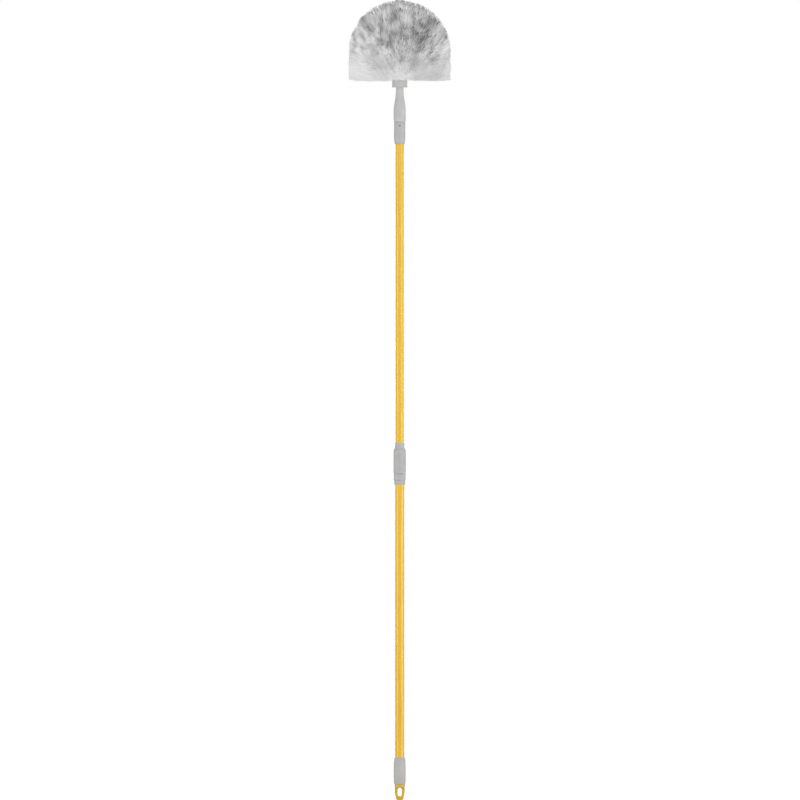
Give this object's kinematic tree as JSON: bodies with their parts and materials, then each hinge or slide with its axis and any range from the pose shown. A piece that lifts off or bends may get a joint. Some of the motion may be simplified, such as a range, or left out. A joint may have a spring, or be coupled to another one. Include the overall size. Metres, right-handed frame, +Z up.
{
  "type": "telescopic cobweb brush",
  "caption": "Domed cobweb brush head of pale bristles, screwed on a telescopic steel pole with a twist clamp, a grip sleeve and a hanging loop.",
  "frame": {"origin": "on the pole's axis, at the middle of the hand grip's sleeve", "axes": "+Z up the pole to the brush head, -Y towards the viewer of the picture, +X to the right; the hanging eye's hole runs along Y"},
  "size_m": [0.2411, 0.2412, 1.8752],
  "materials": {
    "bristle_filament": "crimped grey PVC filament, slightly translucent",
    "pale_plastic": "moulded pale grey polypropylene, satin",
    "grey_plastic": "moulded grey polypropylene, satin",
    "yellow_plastic": "moulded yellow polypropylene, soft gloss",
    "yellow_steel": "yellow baked enamel on thin steel tube, satin gloss",
    "steel": "bright zinc-plated steel"
  },
  "bodies": {
    "lower_pole": {"outer_tube": "yellow_steel", "collet_body": "grey_plastic", "grip_sleeve": "grey_plastic", "hanging_cap": "yellow_plastic"},
    "clamp_ring": {"clamp_cone": "pale_plastic"},
    "clamp_nut": {"lock_nut": "grey_plastic"},
    "upper_pole": {"inner_tube": "yellow_steel", "guide_bush": "grey_plastic", "pole_tip": "grey_plastic", "tip_rivet": "steel"},
    "brush_head": {"tufts_crown": "bristle_filament", "tufts_top": "bristle_filament", "tufts_shoulder": "bristle_filament", "tufts_upper": "bristle_filament", "tufts_lower": "bristle_filament", "tufts_skirt": "bristle_filament", "brush_block": "pale_plastic", "tuft_anchors": "steel", "block_screw": "steel", "neck_socket": "pale_plastic"}
  },
  "joints": [
    {"name": "cone_lift", "type": "slide", "parent": "lower_pole", "child": "clamp_ring", "axis": [0, 0, 1], "range_m": [0, 0.0023]},
    {"name": "nut_turn", "type": "hinge", "parent": "clamp_ring", "child": "clamp_nut", "pos_m": [0, 0, 0.73], "axis": [0, 0, 1], "range_deg": [0, 270]},
    {"name": "pole_slide", "type": "slide", "parent": "lower_pole", "child": "upper_pole", "axis": [0, 0, 1], "range_m": [-0.672, 0]},
    {"name": "head_off", "type": "slide", "parent": "upper_pole", "child": "brush_head", "axis": [0, 0, 1], "range_m": [0, 0.045]}
  ],
  "couplings": [
    {"joint": "cone_lift", "follows": "nut_turn", "m_per_rad": 0.00047746}
  ]
}
